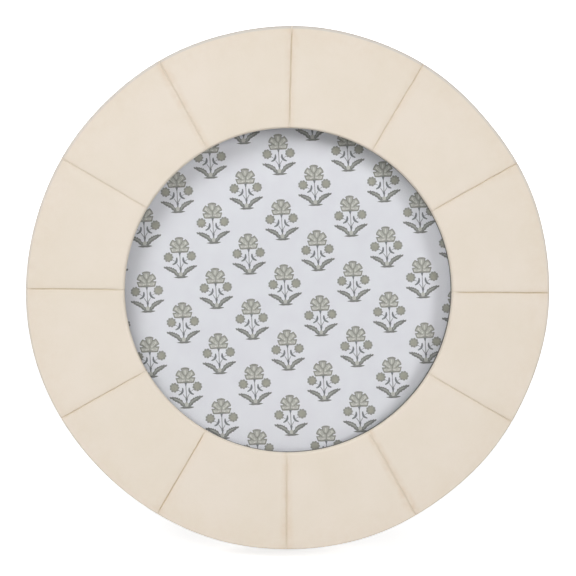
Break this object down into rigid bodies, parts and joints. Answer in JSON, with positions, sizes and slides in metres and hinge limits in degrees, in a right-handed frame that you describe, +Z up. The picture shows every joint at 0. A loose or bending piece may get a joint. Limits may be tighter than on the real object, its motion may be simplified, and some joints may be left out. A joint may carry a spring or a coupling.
{
  "type": "round photo frame",
  "caption": "Round tabletop photo frame with wedge-shaped cream tiles, a printed insert behind glass, turn buttons and a fold-out easel leg.",
  "frame": {"origin": "on the table under the middle of the standing frame, midway between its foremost edge and the back of its foot", "axes": "+X to the viewer's right along the outer diameter, -Y the side that the face looks to, +Z up"},
  "size_m": [0.1524, 0.0586, 0.1505],
  "materials": {
    "resin": "hand-sanded satin cream resin",
    "seam_filler": "matt tan filler",
    "core_board": "bare wood fibre board",
    "back_board": "bare wood fibre board",
    "grey_board": "grey board",
    "print": "printed paper card",
    "glass": "clear, cut edge seamed",
    "lining": "short flocked pile",
    "steel": "nickel plated"
  },
  "bodies": {
    "frame": {"ring_core": "core_board", "face_tile_01": "resin", "face_tile_02": "resin", "face_tile_03": "resin", "face_tile_04": "resin", "face_tile_05": "resin", "face_tile_06": "resin", "face_tile_07": "resin", "face_tile_08": "resin", "face_tile_09": "resin", "face_tile_10": "resin", "face_tile_11": "resin", "face_tile_12": "resin", "edge_strip_01": "resin", "edge_strip_02": "resin", "edge_strip_03": "resin", "edge_strip_04": "resin", "edge_strip_05": "resin", "edge_strip_06": "resin", "edge_strip_07": "resin", "edge_strip_08": "resin", "edge_strip_09": "resin", "edge_strip_10": "resin", "edge_strip_11": "resin", "edge_strip_12": "resin", "seam_filler": "seam_filler", "back_lining": "lining", "glass_pane": "glass", "insert_card": "print", "filler_board": "grey_board", "back_panel": "back_board", "panel_lining": "lining", "button_screws": "steel", "panel_hinge_leaf": "steel", "panel_rivets": "steel", "hinge_pin": "steel"},
    "easel": {"easel_leg": "back_board", "leg_lining": "lining", "leg_hinge_leaf": "steel", "leg_rivets": "steel"},
    "turn_button_1": {"turn_button_1": "steel"},
    "turn_button_2": {"turn_button_2": "steel"},
    "turn_button_3": {"turn_button_3": "steel"},
    "turn_button_4": {"turn_button_4": "steel"}
  },
  "joints": [
    {"name": "easel_hinge", "type": "hinge", "parent": "frame", "child": "easel", "pos_m": [0, 0.01181, 0.09412], "axis": [-1, 0, 0], "range_deg": [0, 24]},
    {"name": "button_1_turn", "type": "hinge", "parent": "frame", "child": "turn_button_1", "pos_m": [0.04101, 0.01528, 0.11287], "axis": [0, -0.9659, 0.2588], "continuous": true},
    {"name": "button_2_turn", "type": "hinge", "parent": "frame", "child": "turn_button_2", "pos_m": [-0.04101, 0.01528, 0.11287], "axis": [0, -0.9659, 0.2588], "continuous": true},
    {"name": "button_3_turn", "type": "hinge", "parent": "frame", "child": "turn_button_3", "pos_m": [-0.04101, -0.00595, 0.03364], "axis": [0, -0.9659, 0.2588], "continuous": true},
    {"name": "button_4_turn", "type": "hinge", "parent": "frame", "child": "turn_button_4", "pos_m": [0.04101, -0.00595, 0.03364], "axis": [0, -0.9659, 0.2588], "continuous": true}
  ]
}
